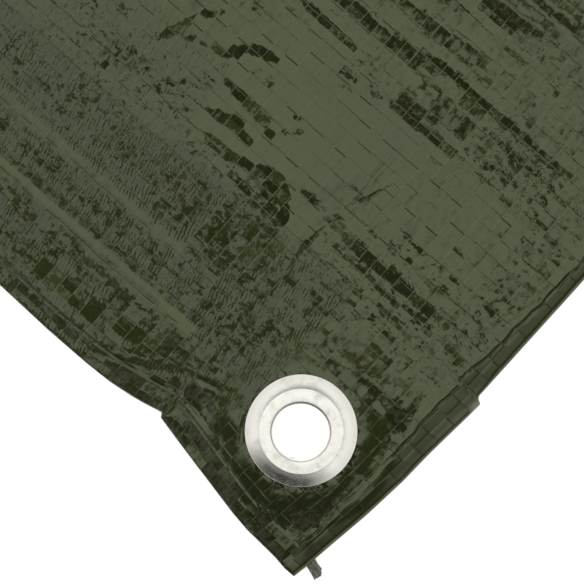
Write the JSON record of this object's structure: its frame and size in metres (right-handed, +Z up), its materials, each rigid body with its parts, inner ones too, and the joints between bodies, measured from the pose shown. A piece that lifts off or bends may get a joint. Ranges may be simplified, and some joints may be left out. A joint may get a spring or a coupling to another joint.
{
  "type": "open woven poly tarp with hems and corner eyelets",
  "caption": "Square woven polyethylene tarp lying open and flat, with roped hems, overlapped corners and an aluminium eyelet in each corner.",
  "frame": {"origin": "middle of the tarp's outline, on the surface that it lies on", "axes": "+Z up out of the cloth, +X along the front hem and +Y along the left hem, away from the leaning front left corner"},
  "size_m": [0.9046, 0.9004, 0.0064],
  "materials": {
    "tarp_cloth": "dark olive green woven polyethylene tape, laminated on both faces, semi-gloss",
    "eyelet_aluminium": "pressed aluminium, satin",
    "hem_rope": "grey-green flat polyethylene strand, fibrillated"
  },
  "bodies": {
    "root": {"tarp_sheet": "tarp_cloth", "hem_front": "tarp_cloth", "hem_back": "tarp_cloth", "corner_front_left": "tarp_cloth", "corner_front_right": "tarp_cloth", "corner_back_left": "tarp_cloth", "corner_back_right": "tarp_cloth", "eyelet_front_left": "eyelet_aluminium", "eyelet_front_right": "eyelet_aluminium", "eyelet_back_left": "eyelet_aluminium", "eyelet_back_right": "eyelet_aluminium", "washer_front_left": "eyelet_aluminium", "washer_front_right": "eyelet_aluminium", "washer_back_left": "eyelet_aluminium", "washer_back_right": "eyelet_aluminium", "hem_rope_end": "hem_rope"}
  },
  "joints": []
}
